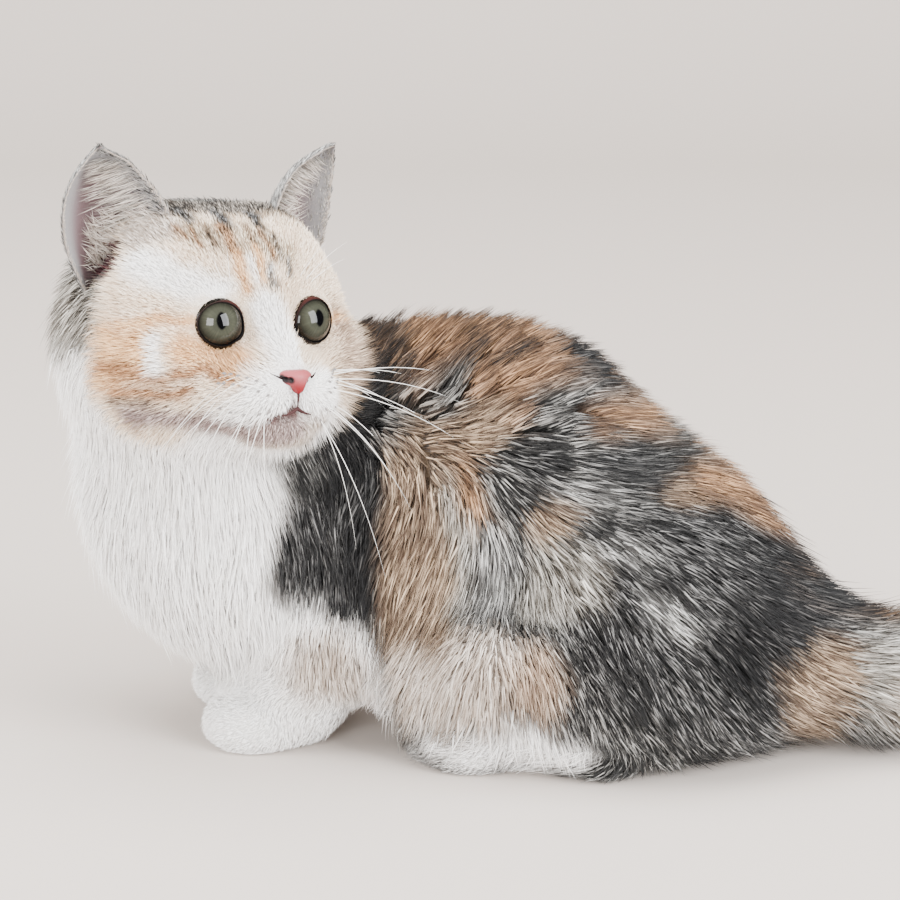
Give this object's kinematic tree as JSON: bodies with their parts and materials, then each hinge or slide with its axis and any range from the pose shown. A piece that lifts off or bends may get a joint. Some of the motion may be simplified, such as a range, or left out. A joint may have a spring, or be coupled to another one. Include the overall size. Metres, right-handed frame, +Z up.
{
  "type": "munchkin cat",
  "caption": "Life-size munchkin kitten with a semi-long tricolour coat, crouched on its haunches with its head turned to look past its left shoulder.",
  "frame": {"origin": "middle of the whole animal's box, on the floor it rests on", "axes": "+Z up; the body lies along X with the chest at -X and the tail at +X; the animal's left side faces -Y"},
  "size_m": [0.3669, 0.1251, 0.1954],
  "materials": {
    "coat": "soft semi-long fur in white, cream, brown and grey-black",
    "nose_leather": "smooth, slightly moist pink",
    "eye": "wet and glossy, olive green with a dark slit pupil"
  },
  "bodies": {
    "root": {"head": "coat", "neck": "coat", "chest": "coat", "torso": "coat", "foreleg_left": "coat", "foreleg_right": "coat", "hindleg_left": "coat", "hindleg_right": "coat", "tail_base": "coat", "tail_middle": "coat", "tail_tip": "coat", "ear_left": "coat", "ear_right": "coat", "nose": "nose_leather", "eye_left": "eye", "eye_right": "eye"}
  },
  "joints": []
}
